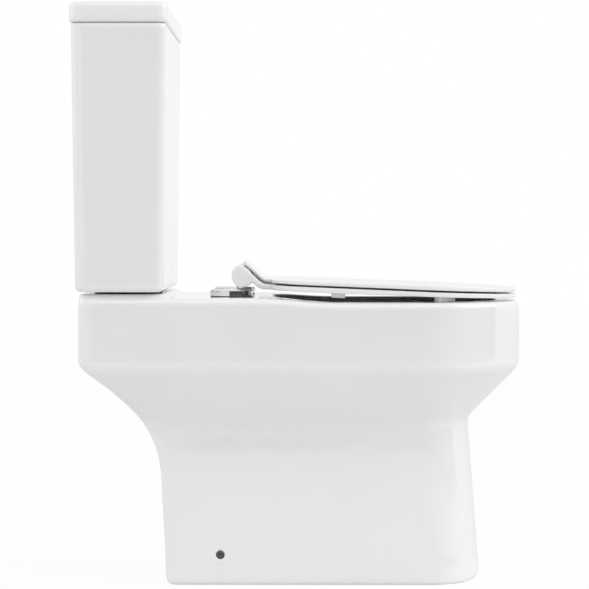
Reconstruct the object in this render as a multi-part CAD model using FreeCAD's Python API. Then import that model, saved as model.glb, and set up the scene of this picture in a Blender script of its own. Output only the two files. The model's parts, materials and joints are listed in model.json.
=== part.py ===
import FreeCAD, Part
import math
import os
from FreeCAD import Vector

# A close-coupled rimless toilet in millimetres. +Z is up, the front faces -Y, and the origin lies on the
# floor under the middle of the whole object.

# General fits
OVERRUN = 6.0            # how far a cut runs past what it cuts
OVAL_POWER = 3           # how much flatter an oval's sides are than its nose
TOUCH_GAP = 0.3          # between pieces that almost touch
THREAD_GAP = 0.1         # between a thread and its nut
PIN_HOLD_GAP = 0.02      # between a hinge pin and the post that holds it
PIN_TURN_GAP = 0.05      # between a hinge pin and a lug that turns on it

# Pan: outside
DECK_LENGTH = 265.0      # from the bowl's opening to the pan's back
PAN_WIDTH = 364.0
DECK_HEIGHT = 400.0
RIM_DROP = 6.0           # the rim lies this far below the deck
RIM_STEP_SETBACK = 234.0  # from the pan's back to where the deck starts to fall
RIM_STEP_LENGTH = 129.0
FOOT_WIDTH = 240.0       # at the floor
FOOT_TAPER = 3.0         # each side, from the floor to the crease
CREASE_REACH = 7.0
BAND_DROP = 100.0        # from the deck to where the flare meets the upright band
FLARE_HEIGHT = 73.0      # from the crease, where the foot turns out, to the band
BAND_REACH = 9.0
FRONT_FOOT_SETBACK = 56.0
FRONT_CREASE_SETBACK = 73.0
BACK_FOOT_SETBACK = 117.4
BACK_BEND_SETBACK = 104.8
BACK_BAND_DROP = 94.0
BACK_FLARE_HEIGHT = 85.0
BACK_BEND_REACH = 63.0
FOOT_NOSE = 75.0
FOOT_SIDE_RADIUS = 60.0
BAND_NOSE = 145.0
BAND_SIDE_RADIUS = 100.0
PAN_BACK_RADIUS = 14.0
FOOT_ROUND = 6.0
RIM_ROUND = 8.0
FOOT_ROUND_SHARES = (0.0, 0.2, 0.58)

# Pan: inside
PAN_WALL = 12.0
RIM_THICKNESS = 14.0
BOWL_RIM_FRONT = 36.0    # from the nose to the bowl's opening
BOWL_LENGTH = 314.0
BOWL_WIDTH = 286.0
BOWL_NOSE_SHARE = 0.51
BOWL_CORNER_SHARE = 0.75
BOWL_EDGE_ROUND = 6.0
LEDGE_DROP = 44.0        # from the rim to the ledge that carries the flush
LEDGE_WIDTH = 10.0
SUMP_HEIGHT = 46.0       # above the floor
SUMP_LENGTH = 56.0
SUMP_WIDTH = 44.0
SUMP_SETBACK = 154.0     # from the front of the ledge to the front of the sump
BOWL_DEPTH_SHARES = (0.0, 0.175, 0.38, 0.59, 0.76, 0.907, 1.0)
BOWL_CLOSING_SHARES = (0.0, 0.13, 0.37, 0.58, 0.76, 0.89, 1.0)
TRAP_RADIUS = 30.0
TRAP_BEND = 70.0
TRAP_ANGLE = 50.0        # degrees
TRAP_RUN = 70.0          # from the middle of the sump to the first bend
OUTLET_HEIGHT = 188.0
OUTLET_RADIUS = 51.0
OUTLET_BORE = 40.0
OUTLET_LENGTH = 64.0
OUTLET_INSET = 4.0       # the spigot ends this far inside the pan's back
WINDOW_WIDTH = 190.0
WINDOW_DROP = 65.0       # from the deck to the top of the window
WINDOW_ROUND = 30.0
DUCT_WIDTH = 70.0
DUCT_HEIGHT = 22.0
DUCT_LIFT = 2.0          # above the ledge
DUCT_WALL = 10.0
WELL_RADIUS = 48.0
COUNTERBORE_DEPTH = 12.0
FLUSH_HOLE_RADIUS = 35.0
HOOD_WIDTH = 96.0
HOOD_REACH = 18.0
HOOD_WALL = 6.0
HOOD_DROP = 4.0          # the hood's lip ends this far above the ledge
FIXING_RADIUS = 6.2
FIXING_SETBACK = 191.8
FIXING_HEIGHT = 42.0

# Brackets that hold the pan to the floor
BRACKET_LENGTH = 44.0
BRACKET_HEIGHT = 66.0
BRACKET_WALL = 5.0
BRACKET_FOOT = 34.0
BRACKET_BOSS_RADIUS = 10.0
BRACKET_BOSS_LENGTH = 12.0
BRACKET_PILOT_RADIUS = 2.5
BRACKET_SCREW_RADIUS = 4.0

# Cistern tank and lid
LID_BACK_REACH = 10.5    # the cistern lid stands this far behind the pan's back
PLATFORM_HEIGHT = 5.5    # of the deck's raised part, which carries the tank
PLATFORM_REACH = 1.0     # of its top, ahead of the tank
PLATFORM_SLOPE = 7.7     # of its front and sides, seen from above
PLATFORM_FOOT_DROP = 2.6  # from the deck to the foot of that slope, in the rim's round edge
PLATFORM_SIDE_INSET = 2.3  # of that foot, inside the pan's sides
PLATFORM_BACK_INSET = 1.0  # inside the pan's back
PLATFORM_CORNER = 12.0
PLATFORM_ROUND = 2.5
TANK_GAP = 2.5           # between the platform and the tank
TANK_HEIGHT = 365.5
TANK_BOTTOM_WIDTH = 372.0
TANK_TOP_WIDTH = 380.0
TANK_BOTTOM_DEPTH = 121.0
TANK_TOP_DEPTH = 130.0
TANK_WALL = 10.0
TANK_FLOOR = 12.0
TANK_CORNER = 13.0
TANK_BOTTOM_ROUND = 8.0
TANK_TOP_ROUND = 2.5
LID_HEIGHT = 28.2
LID_OVERHANG = 2.2
LID_WALL = 9.0
LID_TOP_ROUND = 8.0
LID_BOTTOM_ROUND = 2.0
LIP_GAP = 1.5
LIP_WALL = 5.0
LIP_DEPTH = 9.0

# Coupling between the pan and the cistern
GASKET_RADIUS = 48.0
GASKET_GAP = 1.0
COUPLING_SPREAD = 250.0
COUPLING_BOLT_RADIUS = 4.0
COUPLING_DECK_RADIUS = 7.0
COUPLING_TANK_RADIUS = 5.0
BUFFER_RADIUS = 16.0
BOLT_HEAD_RADIUS = 9.0
BOLT_HEAD_HEIGHT = 5.5
BOLT_SEAL_RADIUS = 11.0
BOLT_SEAL_HEIGHT = 5.0
WASHER_RADIUS = 11.0
WASHER_HEIGHT = 1.6
WING_HUB_RADIUS = 8.0
WING_HUB_HEIGHT = 10.0
WING_SPAN = 40.0
WING_WALL = 3.2
WING_HEIGHT = 12.0
BOLT_PROTRUSION = 8.0

# Flush valve
VALVE_TAIL_RADIUS = 29.5
VALVE_BORE = 24.0
VALVE_TAIL_DROP = 24.0   # below the deck's top
VALVE_HOLE_GAP = 1.0
VALVE_FLANGE_RADIUS = 38.0
VALVE_FLANGE_HEIGHT = 4.5
VALVE_WASHER_HEIGHT = 4.0
VALVE_SEAT_RADIUS = 28.0
VALVE_SEAT_HEIGHT = 4.0
VALVE_POST_COUNT = 4
VALVE_POST_RADIUS = 3.0
VALVE_POST_CIRCLE = 33.0
VALVE_POST_HEIGHT = 172.0
VALVE_RING_HEIGHT = 6.0
VALVE_RING_MARGIN = 2.0  # outside the posts
VALVE_NUT_RADIUS = 42.0
VALVE_NUT_HEIGHT = 12.0
VALVE_HEAD_RADIUS = 26.0
VALVE_HEAD_HEIGHT = 84.0
VALVE_HEAD_ROOF = 18.0
VALVE_WINDOW_WIDTH = 14.0
VALVE_WINDOW_HEIGHT = 30.0
SPINDLE_RADIUS = 12.0
SPINDLE_BORE = 9.5
SPINDLE_HEIGHT = 208.0
SPINDLE_GUIDE_GAP = 0.4
SPINDLE_DISC_RADIUS = 27.0
SPINDLE_DISC_HEIGHT = 4.0
FLUSH_SEAL_RADIUS = 29.0
FLUSH_SEAL_BORE = 20.0
FLUSH_SEAL_HEIGHT = 4.0
FLUSH_FLOAT_RADIUS = 26.0
FLUSH_FLOAT_HEIGHT = 60.0
FLUSH_FLOAT_LIFT = 34.0  # above the spindle's disc
FLOAT_HOLD_GAP = 0.2

# Fill valve
FILL_OFFSET = 79.0
FILL_TAIL_RADIUS = 10.48
FILL_TAIL_REACH = 35.0   # below the deck's underside
FILL_TAIL_BORE = 5.0
FILL_GROOVE_WIDTH = 1.5   # between the supply's thread and the back nut's
FILL_GROOVE_DEPTH = 0.6
FILL_HOLE_GAP = 0.5
FILL_DECK_RADIUS = 19.5
FILL_FLANGE_RADIUS = 17.0
FILL_FLANGE_HEIGHT = 4.5
FILL_WASHER_HEIGHT = 3.0
FILL_NUT_RADIUS = 18.0
FILL_NUT_HEIGHT = 10.0
FILL_NUT_SIDES = 6
RISER_RADIUS = 9.0
RISER_HEIGHT = 263.0
CAP_RADIUS = 20.0
CAP_HEIGHT = 30.0
FILL_FLOAT_RADIUS = 28.0
FILL_FLOAT_HEIGHT = 60.0
FILL_FLOAT_DROP = 70.0   # from the cap to the top of the float
FILL_STOP_RADIUS = 14.0
FILL_STOP_HEIGHT = 4.0
LEVER_PIVOT_OFFSET = 6.0
LEVER_PIVOT_HEIGHT = 18.0  # above the cap's underside
LEVER_WIDTH = 7.0
LEVER_HEIGHT = 4.0
LEVER_TIP = 10.0         # past the link
LEVER_HUB_RADIUS = 4.5
LEVER_SIDE_GAP = 0.4
LEVER_PIN_RADIUS = 1.6
LINK_RADIUS = 2.0
LINK_GAP = 0.8           # between the link's collars and the cap
LINK_SLOT_REACH = 6.0
LINK_COLLAR_RADIUS = 3.2
LINK_COLLAR_HEIGHT = 2.5
LINK_COLLAR_GAP = 5.0    # from the lever's middle to each collar

# Flush buttons
PLATE_RADIUS = 32.0
PLATE_HEIGHT = 4.5
PLATE_ROUND = 1.5
SLEEVE_RADIUS = 22.5
SLEEVE_BORE = 19.5
SLEEVE_DROP = 26.0       # below the top of the lid
SLEEVE_HOLE_GAP = 0.8
LOCKNUT_RADIUS = 30.0
LOCKNUT_HEIGHT = 10.0
BUTTON_RADIUS = 18.8
BUTTON_HEIGHT = 13.0
BUTTON_PROUD = 1.5       # above the plate
BUTTON_SPLIT = 4.0       # the split lies this far off the middle
BUTTON_SPLIT_GAP = 0.6
BUTTON_ROUND = 1.0
ROD_RADIUS = 2.5
ROD_BORE = 4.0
ROD_DEPTH = 6.0          # inside the valve's head
FULL_ROD_OFFSET = 8.0
HALF_ROD_OFFSET = 11.0

# Seat hinges
HINGE_SETBACK = 222.85   # from the pan's back to the axis
HINGE_RISE = 29.3        # from the deck to the axis
HINGE_SPREAD = 155.0     # between the fixings
HINGE_FIXING_SETBACK = 206.45
HINGE_HOLE_RADIUS = 8.0
PUCK_RADIUS = 30.0
PUCK_HEIGHT = 9.0
PUCK_BEVEL = 2.0
HINGE_GASKET_HEIGHT = 1.0
HINGE_GASKET_INSET = 1.0
STUD_RADIUS = 4.0
STUD_DEPTH = 6.0         # inside the puck
BUSH_GAP = 0.2
POST_INNER = 69.0        # across the toilet, from the middle
POST_WIDTH = 17.0
POST_HEAD_GAP = 1.0      # below the lid's flap
POST_FOOT = 8.0           # how long the foot is, behind the seat's chin
LUG_GAP = 1.5
SEAT_LUG_WIDTH = 16.0
SEAT_LUG_RADIUS = 16.0
LID_LUG_WIDTH = 15.5
LID_LUG_RADIUS = 14.0
CHIN_REACH = 18.6
CHIN_ANGLE = 256.0       # degrees
CHIN_SPREAD = 32.0       # degrees
DAMPER_RADIUS = 6.0
DAMPER_END = 2.0         # left of each lug past the end of the damper

# Seat and lid
SEAT_INSET = 5.0         # inside the pan's outline
SEAT_BACK_RADIUS = 60.0
SEAT_KINK_DROP = 10.3    # from the axis to where the gap turns level
FLAP_ANGLE = 42.7        # degrees
FLAP_DISTANCE = 11.5     # from the axis to the gap
FLAP_REACH = 13.0        # past the foot of that distance
FLAP_WIDTH = 172.0
SEAT_GAP = 2.6           # between the seat and the lid
GAP_FALL_SHARE = 0.0416
SEAT_UNDER_FALL_SHARE = 0.0385
LID_TOP_FALL_SHARE = 0.0374
SEAT_THICKNESS = 7.2     # at the kink
LID_THICKNESS = 5.0      # at the kink
SEAT_ARM_THICKNESS = 8.0
BEND_INSIDE = 12.0       # how the seat and the lid are rounded where they turn up to the hinge
BEND_OUTSIDE = 16.0
BEND_STEPS = 8
SEAT_ARM_REACH = 20.0    # forward of the kink
HOLE_WIDTH = 224.0
HOLE_BACK = 42.0         # from the seat's rear edge to its hole
HOLE_LENGTH = 258.0
HOLE_NOSE = 118.0
HOLE_BACK_RADIUS = 70.0
REAR_BUFFER_OFFSET = 160.0
REAR_BUFFER_FORWARD = 132.0
REAR_BUFFER_LENGTH = 19.0
REAR_BUFFER_WIDTH = 10.0
REAR_BUFFER_HEIGHT = 6.3
FRONT_BUFFER_OFFSET = 150.0
FRONT_BUFFER_FORWARD = 278.0
FRONT_BUFFER_LENGTH = 33.0
FRONT_BUFFER_WIDTH = 10.0
FRONT_BUFFER_ANGLE = 45.0  # degrees
LID_BUFFER_RADIUS = 7.0
LID_BUFFER_OFFSETS = (148.0, 112.0)
LID_BUFFER_FORWARDS = (110.0, 290.0)

# Places worked out from the driving sizes
ALONG_X = Vector(1, 0, 0)
ALONG_Y = Vector(0, 1, 0)
ALONG_Z = Vector(0, 0, 1)
SIDES = (-1, 1)

pan_length = BOWL_RIM_FRONT + BOWL_LENGTH + DECK_LENGTH
back_edge = (pan_length + LID_BACK_REACH) / 2
pan_back = back_edge - LID_BACK_REACH
pan_front = pan_back - pan_length
band_height = DECK_HEIGHT - BAND_DROP
crease_height = band_height - FLARE_HEIGHT
back_band_height = DECK_HEIGHT - BACK_BAND_DROP
back_bend_height = back_band_height - BACK_FLARE_HEIGHT
rim_height = DECK_HEIGHT - RIM_DROP
deck_under = rim_height - RIM_THICKNESS
ledge_height = rim_height - LEDGE_DROP
bowl_depth = ledge_height - SUMP_HEIGHT
bowl_front = pan_front + BOWL_RIM_FRONT
bowl_back = bowl_front + BOWL_LENGTH
sump_front = bowl_front + LEDGE_WIDTH + SUMP_SETBACK
band_top = max(band_height, back_band_height) + BAND_REACH
fixing_y = pan_back - FIXING_SETBACK

cistern_y = back_edge - LID_OVERHANG - TANK_TOP_DEPTH / 2
platform_top = DECK_HEIGHT + PLATFORM_HEIGHT
tank_bottom = platform_top + TANK_GAP
tank_floor = tank_bottom + TANK_FLOOR
tank_top = tank_bottom + TANK_HEIGHT
lid_bottom = tank_top + TOUCH_GAP
lid_top = lid_bottom + LID_HEIGHT
lid_ceiling = lid_top - LID_WALL
counterbore_floor = DECK_HEIGHT - COUNTERBORE_DEPTH
coupling_x = COUPLING_SPREAD / 2

valve_flange_bottom = tank_floor + VALVE_WASHER_HEIGHT
valve_flange_top = valve_flange_bottom + VALVE_FLANGE_HEIGHT
valve_seat_top = valve_flange_top + VALVE_SEAT_HEIGHT
valve_post_top = valve_flange_top + VALVE_POST_HEIGHT
valve_head_bottom = valve_post_top + VALVE_RING_HEIGHT
valve_head_top = valve_head_bottom + VALVE_HEAD_HEIGHT
disc_bottom = valve_seat_top + FLUSH_SEAL_HEIGHT
disc_top = disc_bottom + SPINDLE_DISC_HEIGHT
spindle_top = disc_top + SPINDLE_HEIGHT
flush_float_bottom = disc_top + FLUSH_FLOAT_LIFT

fill_flange_bottom = tank_floor + FILL_WASHER_HEIGHT
fill_flange_top = fill_flange_bottom + FILL_FLANGE_HEIGHT
cap_bottom = fill_flange_top + RISER_HEIGHT
cap_top = cap_bottom + CAP_HEIGHT
fill_float_top = cap_bottom - FILL_FLOAT_DROP
fill_float_bottom = fill_float_top - FILL_FLOAT_HEIGHT
lever_x = FILL_OFFSET + LEVER_PIVOT_OFFSET
lever_z = cap_bottom + LEVER_PIVOT_HEIGHT
link_x = FILL_OFFSET - CAP_RADIUS - LINK_COLLAR_RADIUS - LINK_GAP

plate_top = lid_top + PLATE_HEIGHT
button_top = plate_top + BUTTON_PROUD
button_bottom = button_top - BUTTON_HEIGHT
rod_bottom = valve_head_top - ROD_DEPTH

hinge_y = pan_back - HINGE_SETBACK
hinge_z = DECK_HEIGHT + HINGE_RISE
hinge_fixing_y = pan_back - HINGE_FIXING_SETBACK
hinge_x = HINGE_SPREAD / 2
puck_bottom = DECK_HEIGHT + HINGE_GASKET_HEIGHT
puck_top = puck_bottom + PUCK_HEIGHT
stud_top = puck_bottom + STUD_DEPTH
post_outer = POST_INNER + POST_WIDTH
seat_lug_inner = post_outer + LUG_GAP
seat_lug_outer = seat_lug_inner + SEAT_LUG_WIDTH
lid_lug_outer = POST_INNER - LUG_GAP
lid_lug_inner = lid_lug_outer - LID_LUG_WIDTH
damper_outer = seat_lug_outer - DAMPER_END
damper_inner = lid_lug_inner + DAMPER_END
lug_bore = DAMPER_RADIUS + PIN_TURN_GAP
post_head_radius = FLAP_DISTANCE + SEAT_GAP / 2 - POST_HEAD_GAP
seat_front = hinge_y - pan_front - SEAT_INSET


# Basic shapes
def block(x0, x1, y0, y1, z0, z1):
    return Part.makeBox(x1 - x0, y1 - y0, z1 - z0, Vector(x0, y0, z0))


def disc(x, y, z0, z1, radius):
    return Part.makeCylinder(radius, z1 - z0, Vector(x, y, z0))


def ring(x, y, z0, z1, radius, bore):
    return disc(x, y, z0, z1, radius).cut(disc(x, y, z0 - OVERRUN, z1 + OVERRUN, bore))


def bar(x0, x1, y, z, radius):
    return Part.makeCylinder(radius, x1 - x0, Vector(x0, y, z), ALONG_X)


def group(shapes):
    return Part.makeCompound(list(shapes))


def mirrored(shape):
    return shape.mirror(Vector(0, 0, 0), ALONG_X)


def pair(shape):
    return group([mirrored(shape), shape])


def joined(shapes):
    return shapes[0].fuse(shapes[1:]).removeSplitter()


def bevelled(shape, size, z):
    edges = [edge for edge in shape.Edges if level_edge(edge, z)]
    return shape.makeChamfer(size, edges)


def rounded(shape, radius, z):
    edges = [edge for edge in shape.Edges if level_edge(edge, z)]
    return shape.makeFillet(radius, edges)


def level_edge(edge, z):
    box = edge.BoundBox
    return abs(box.ZMin - z) < TOUCH_GAP / 2 and abs(box.ZMax - z) < TOUCH_GAP / 2


def loft(wires, ruled):
    return Part.makeLoft(wires, True, ruled)


def upright(wire, z_height):
    return Part.Face(wire).extrude(Vector(0, 0, z_height))


def across(points, x0, x1):
    """A closed outline of (forward, up) points from the hinge axis, drawn out from x0 to x1."""
    corners = [Vector(x0, hinge_y - forward, hinge_z + up) for forward, up in points]
    wire = Part.makePolygon(corners + corners[:1])
    return Part.Face(wire).extrude(Vector(x1 - x0, 0, 0))


def soft_d(half_width, back, front, nose, side_radius, back_radius, z):
    """A D-shaped outline: a straight back with round corners, straight sides and a round nose."""
    side_x = half_width - side_radius
    front_radius = (side_x ** 2 + nose ** 2 - side_radius ** 2) / (2 * (nose - side_radius))
    side_y = front + nose
    centre_y = front + front_radius
    reach = front_radius / math.hypot(side_x, side_y - centre_y)
    if front_radius < side_radius:
        reach = -reach
    join_x = side_x * reach
    join_y = centre_y + (side_y - centre_y) * reach
    bisector = math.hypot(join_x - side_x + side_radius, join_y - side_y)
    bulge_x = side_x + side_radius * (join_x - side_x + side_radius) / bisector
    bulge_y = side_y + side_radius * (join_y - side_y) / bisector
    corner = back_radius * (1 - math.sqrt(0.5))
    flat_x = half_width - back_radius
    flat_y = back - back_radius

    def point(x, y):
        return Vector(x, y, z)

    def arc(*ends):
        return Part.Arc(*[point(*end) for end in ends]).toShape()

    def line(*ends):
        return Part.LineSegment(*[point(*end) for end in ends]).toShape()

    return Part.Wire([
        line((-flat_x, back), (flat_x, back)),
        arc((flat_x, back), (half_width - corner, back - corner), (half_width, flat_y)),
        line((half_width, flat_y), (half_width, side_y)),
        arc((half_width, side_y), (bulge_x, bulge_y), (join_x, join_y)),
        arc((join_x, join_y), (0, front), (-join_x, join_y)),
        arc((-join_x, join_y), (-bulge_x, bulge_y), (-half_width, side_y)),
        line((-half_width, side_y), (-half_width, flat_y)),
        arc((-half_width, flat_y), (corner - half_width, back - corner), (-flat_x, back)),
    ])


def oval_side(half_width, nose):
    """The radius of an oval's sides, which suits any nose that is longer or shorter than half the width."""
    return nose * (nose / half_width) ** OVAL_POWER


def round_rectangle(half_width, half_depth, radius, z):
    """An upright rectangle about the cistern's middle, with round corners."""
    corner = radius * (1 - math.sqrt(0.5))
    edges = []
    for turn in range(4):
        along, out = (half_width, half_depth) if turn % 2 == 0 else (half_depth, half_width)
        start = (radius - along, out)
        end = (along - radius, out)
        bulge = (along - corner, out - corner)
        finish = (along, out - radius)
        spots = []
        for a, b in (start, end, bulge, finish):
            for _ in range(turn):
                a, b = b, -a
            spots.append(Vector(a, cistern_y + b, z))
        edges.append(Part.LineSegment(spots[0], spots[1]).toShape())
        edges.append(Part.Arc(spots[1], spots[2], spots[3]).toShape())
    return Part.Wire(edges)


def profile(z, corners):
    """The value at a height, through (height, value, reach) corners rounded over their reach."""
    slopes = [(b[1] - a[1]) / (b[0] - a[0]) for a, b in zip(corners, corners[1:])]
    value = corners[0][1] + slopes[0] * (z - corners[0][0])
    for corner, before, after in zip(corners[1:], slopes, slopes[1:]):
        distance = z - corner[0]
        reach = corner[2]
        if distance >= reach:
            value += (after - before) * distance
        elif distance > -reach:
            value += (after - before) * (distance + reach) ** 2 / (4 * reach)
    return value


def spaced(start, end, count):
    return [start + (end - start) * step / count for step in range(count)]


# Pan
def back_setback(z):
    """How far the pan's back lies in front of its rearmost place at a height."""
    return profile(z, ((0, BACK_FOOT_SETBACK), (back_bend_height, BACK_BEND_SETBACK, BACK_BEND_REACH),
                       (back_band_height, 0, BAND_REACH), (band_top + BAND_REACH, 0)))


def pan_outline(z, inset):
    flare = profile(z, ((0, 0), (crease_height, 0, CREASE_REACH),
                        (band_height, 1, BAND_REACH), (band_top, 1)))
    half_foot = FOOT_WIDTH / 2 - FOOT_TAPER * min(z / crease_height, 1)
    half_width = half_foot + (PAN_WIDTH / 2 - half_foot) * flare
    front = profile(z, ((0, FRONT_FOOT_SETBACK), (crease_height, FRONT_CREASE_SETBACK, CREASE_REACH),
                        (band_height, 0, BAND_REACH), (band_top, 0)))
    nose = FOOT_NOSE + (BAND_NOSE - FOOT_NOSE) * flare
    side_radius = FOOT_SIDE_RADIUS + (BAND_SIDE_RADIUS - FOOT_SIDE_RADIUS) * flare
    back_radius = max(PAN_BACK_RADIUS - inset, PAN_BACK_RADIUS / 2)
    return soft_d(half_width - inset, pan_back - back_setback(z) - inset, pan_front + front + inset,
                  nose - inset, side_radius - inset, back_radius, z)


def foot_edge(z):
    if z >= FOOT_ROUND:
        return 0
    return FOOT_ROUND - math.sqrt(FOOT_ROUND ** 2 - (FOOT_ROUND - z) ** 2)


def pan_heights():
    crease = (crease_height - CREASE_REACH, crease_height + CREASE_REACH)
    band = min(band_height, back_band_height) - BAND_REACH
    heights = spaced(FOOT_ROUND, crease[0], 7)
    heights += spaced(crease[0], crease[1], 4)
    heights += spaced(crease[1], band, 4)
    heights += spaced(band, band_top, 6)
    return sorted(heights) + [band_top]


def pan_body():
    foot_heights = [FOOT_ROUND * share for share in FOOT_ROUND_SHARES]
    heights = foot_heights + pan_heights()
    lower = loft([pan_outline(z, foot_edge(z)) for z in heights], False)
    upper = upright(pan_outline(band_top, 0), DECK_HEIGHT + OVERRUN - band_top)
    return lower.fuse(upper.cut(above_deck()))


def above_deck():
    """The space over the deck and the lower rim, which meet in a long flat S."""
    radius = (RIM_STEP_LENGTH ** 2 + RIM_DROP ** 2) / (4 * RIM_DROP)
    half_turn = math.asin(RIM_STEP_LENGTH / 2 / radius) / 2
    bulge_y = radius * math.sin(half_turn)
    bulge_z = radius * (1 - math.cos(half_turn))
    start = pan_back - RIM_STEP_SETBACK
    end = start - RIM_STEP_LENGTH
    x0 = -PAN_WIDTH / 2 - OVERRUN

    def point(y, z):
        return Vector(x0, y, z)

    far_back = pan_back + OVERRUN
    far_front = pan_front - OVERRUN
    ceiling = DECK_HEIGHT + OVERRUN * 2
    middle = point((start + end) / 2, DECK_HEIGHT - RIM_DROP / 2)
    edges = [
        Part.LineSegment(point(far_back, DECK_HEIGHT), point(start, DECK_HEIGHT)).toShape(),
        Part.Arc(point(start, DECK_HEIGHT), point(start - bulge_y, DECK_HEIGHT - bulge_z), middle).toShape(),
        Part.Arc(middle, point(end + bulge_y, rim_height + bulge_z), point(end, rim_height)).toShape(),
        Part.LineSegment(point(end, rim_height), point(far_front, rim_height)).toShape(),
        Part.LineSegment(point(far_front, rim_height), point(far_front, ceiling)).toShape(),
        Part.LineSegment(point(far_front, ceiling), point(far_back, ceiling)).toShape(),
        Part.LineSegment(point(far_back, ceiling), point(far_back, DECK_HEIGHT)).toShape(),
    ]
    return Part.Face(Part.Wire(edges)).extrude(Vector(PAN_WIDTH + OVERRUN * 2, 0, 0))


def bowl_outline(closing, outset, z):
    length = BOWL_LENGTH - LEDGE_WIDTH * 2
    front = bowl_front + LEDGE_WIDTH + SUMP_SETBACK * closing
    length += (SUMP_LENGTH - length) * closing
    half_ledge = BOWL_WIDTH / 2 - LEDGE_WIDTH
    half_width = half_ledge + (SUMP_WIDTH / 2 - half_ledge) * closing
    return bowl_shape(half_width + outset, front - outset, length + outset * 2, z)


def bowl_shape(half_width, front, length, z):
    nose = length * BOWL_NOSE_SHARE
    return soft_d(half_width, front + length, front, nose, oval_side(half_width, nose),
                  half_width * BOWL_CORNER_SHARE, z)


def bowl_space(outset):
    wires = []
    for depth, closing in zip(BOWL_DEPTH_SHARES, BOWL_CLOSING_SHARES):
        z = ledge_height - bowl_depth * depth - outset * closing
        wires.append(bowl_outline(closing, outset, z))
    return loft(wires, False)


def bowl_mouth(outset, top):
    bottom = ledge_height - outset
    wire = bowl_shape(BOWL_WIDTH / 2 + outset, bowl_front - outset, BOWL_LENGTH + outset * 2, bottom)
    return upright(wire, top - bottom)


def pipe(corners, bend, radius):
    """A round pipe along straight runs in the middle plane, with a tangent bend at each inner corner."""
    spots = [Vector(0, y, z) for y, z in corners]
    edges = []
    start = spots[0]
    for before, corner, after in zip(spots, spots[1:], spots[2:]):
        into = (corner - before).normalize()
        out = (after - corner).normalize()
        turn = into.getAngle(out)
        reach = bend * math.tan(turn / 2)
        first = corner - into * reach
        last = corner + out * reach
        inward = (out - into).normalize()
        middle = corner + inward * (bend / math.cos(turn / 2) - bend)
        edges.append(Part.LineSegment(start, first).toShape())
        edges.append(Part.Arc(first, middle, last).toShape())
        start = last
    edges.append(Part.LineSegment(start, spots[-1]).toShape())
    section = Part.Wire([Part.makeCircle(radius, spots[0], spots[1] - spots[0])])
    return Part.Wire(edges).makePipeShell([section], True, False)


def outlet_end():
    return pan_back - back_setback(OUTLET_HEIGHT) - OUTLET_INSET


def trap(radius, end):
    start_y = sump_front + SUMP_LENGTH / 2
    start_z = SUMP_HEIGHT + TRAP_RADIUS
    bend_y = start_y + TRAP_RUN
    run = (OUTLET_HEIGHT - start_z) / math.tan(math.radians(TRAP_ANGLE))
    corners = ((start_y, start_z), (bend_y, start_z), (bend_y + run, OUTLET_HEIGHT), (end, OUTLET_HEIGHT))
    return pipe(corners, TRAP_BEND, radius)


def along_y(y0, y1, z, radius):
    return Part.makeCylinder(radius, y1 - y0, Vector(0, y0, z), ALONG_Y)


def window():
    half = WINDOW_WIDTH / 2
    depth = BACK_FOOT_SETBACK + PAN_WALL + OVERRUN
    tall = block(-half, half, pan_back - depth, pan_back + OVERRUN, -OVERRUN, DECK_HEIGHT - WINDOW_DROP)
    edges = []
    for edge in tall.Edges:
        box = edge.BoundBox
        if box.YLength > box.XLength + box.ZLength and box.ZMin > 0:
            edges.append(edge)
    return tall.makeFillet(WINDOW_ROUND, edges)


def platform_outline(inset, z):
    """The outline of the deck's raised part, drawn in at its sides and front but not at its back."""
    front = cistern_y - TANK_BOTTOM_DEPTH / 2 - PLATFORM_REACH - PLATFORM_SLOPE + inset
    back = pan_back - PLATFORM_BACK_INSET
    half_width = PAN_WIDTH / 2 - PLATFORM_SIDE_INSET - inset
    outline = round_rectangle(half_width, (back - front) / 2, PLATFORM_CORNER, z)
    outline.translate(Vector(0, (back + front) / 2 - cistern_y, 0))
    return outline


def platform():
    """The raised part of the deck that carries the tank, with a sloped front and sides."""
    levels = (deck_under, DECK_HEIGHT - PLATFORM_FOOT_DROP, platform_top)
    wires = [platform_outline(inset, z) for inset, z in zip((0, 0, PLATFORM_SLOPE), levels)]
    return rounded(loft(wires, True), PLATFORM_ROUND, platform_top)


def rim_edges(shape):
    """The pan's upper outer edges, without the lines that cross the deck."""
    edges = []
    for edge in shape.Edges:
        box = edge.BoundBox
        middle_y = (box.YMin + box.YMax) / 2
        crossing = box.YLength < TOUCH_GAP and pan_front + OVERRUN < middle_y < pan_back - OVERRUN
        if box.ZMin > rim_height - TOUCH_GAP and not crossing:
            edges.append(edge)
    return edges


def mouth_edges(shape):
    """The upper edges of the bowl's opening."""
    edges = []
    for edge in rim_edges(shape):
        middle = edge.valueAt((edge.FirstParameter + edge.LastParameter) / 2)
        inside_x = abs(middle.x) < BOWL_WIDTH / 2 + TOUCH_GAP
        inside_y = bowl_front - TOUCH_GAP < middle.y < bowl_back + TOUCH_GAP
        if inside_x and inside_y:
            edges.append(edge)
    return edges


def hood():
    """A splitter at the back of the bowl that turns the flush along both sides of the ledge."""
    half = HOOD_WIDTH / 2
    top = ledge_height + DUCT_LIFT + DUCT_HEIGHT + HOOD_WALL
    front = bowl_back - HOOD_REACH
    roof = block(-half, half, front, bowl_back + PAN_WALL / 2, top - HOOD_WALL, top)
    lip = block(-half, half, front, front + HOOD_WALL, ledge_height + HOOD_DROP, top)
    return roof.fuse(lip)


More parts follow.
